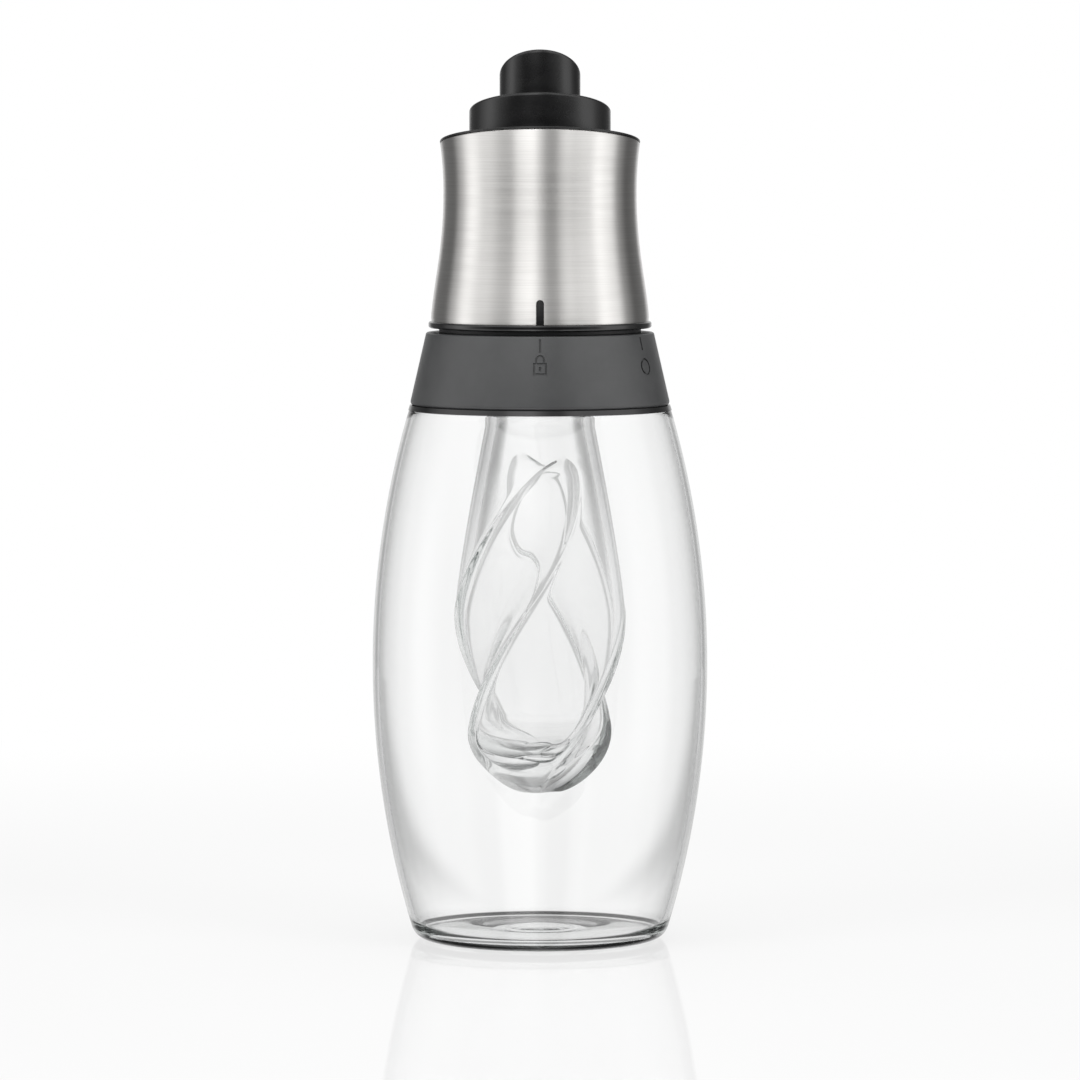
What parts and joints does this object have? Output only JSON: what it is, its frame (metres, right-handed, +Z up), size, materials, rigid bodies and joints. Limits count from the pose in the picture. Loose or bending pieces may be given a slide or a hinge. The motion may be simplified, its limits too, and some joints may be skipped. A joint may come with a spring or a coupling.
{
  "type": "oil and vinegar dispenser",
  "caption": "Barrel-shaped clear glass cruet with a twisted inner glass vessel and a push-fit head whose steel sleeve turns to lock it or to pour oil or vinegar.",
  "frame": {"origin": "centre of the bottle's foot, on the surface it stands on", "axes": "+Z up along the bottle's axis; the pointer and the lock mark face -Y"},
  "size_m": [0.0738, 0.0738, 0.1961],
  "materials": {
    "glass": "clear polished glass",
    "collar_plastic": "fine satin texture",
    "inner_plastic": "plain moulded",
    "gloss_plastic": "polished",
    "spout_plastic": "satin moulded",
    "acetal": "smooth turned",
    "silicone": "translucent, soft",
    "brushed_steel": "fine brush lines round the axis",
    "fastener_steel": "plain bright steel"
  },
  "bodies": {
    "bottle": {"outer_bottle": "glass"},
    "head": {"collar_shell": "collar_plastic", "neck_plug": "inner_plastic", "rim_gasket": "silicone", "lower_neck_seal": "silicone", "upper_neck_seal": "silicone", "vessel_seal": "silicone", "port_gasket": "silicone", "port_plate": "acetal", "pivot_screw": "fastener_steel", "pivot_washer": "fastener_steel", "thrust_washer": "inner_plastic"},
    "vessel": {"inner_vessel": "glass"},
    "selector": {"rotor_disc": "acetal", "selector_core": "inner_plastic", "valve_spring": "fastener_steel", "steel_sleeve": "brushed_steel", "trim_ring": "gloss_plastic", "top_cap": "spout_plastic", "cap_screw_1": "fastener_steel", "cap_screw_2": "fastener_steel", "cap_screw_3": "fastener_steel", "spout_base": "spout_plastic", "spout_seal": "silicone", "spout_tip": "spout_plastic", "breather_tube": "inner_plastic"}
  },
  "joints": [
    {"name": "head_pull", "type": "slide", "parent": "bottle", "child": "head", "axis": [0, 0, 1], "range_m": [0, 0.1]},
    {"name": "vessel_pull", "type": "slide", "parent": "head", "child": "vessel", "axis": [0, 0, -1], "range_m": [0, 0.012]},
    {"name": "selector_turn", "type": "hinge", "parent": "head", "child": "selector", "pos_m": [0, 0, 0.1348], "axis": [0, 0, 1], "range_deg": [0, 120]}
  ]
}
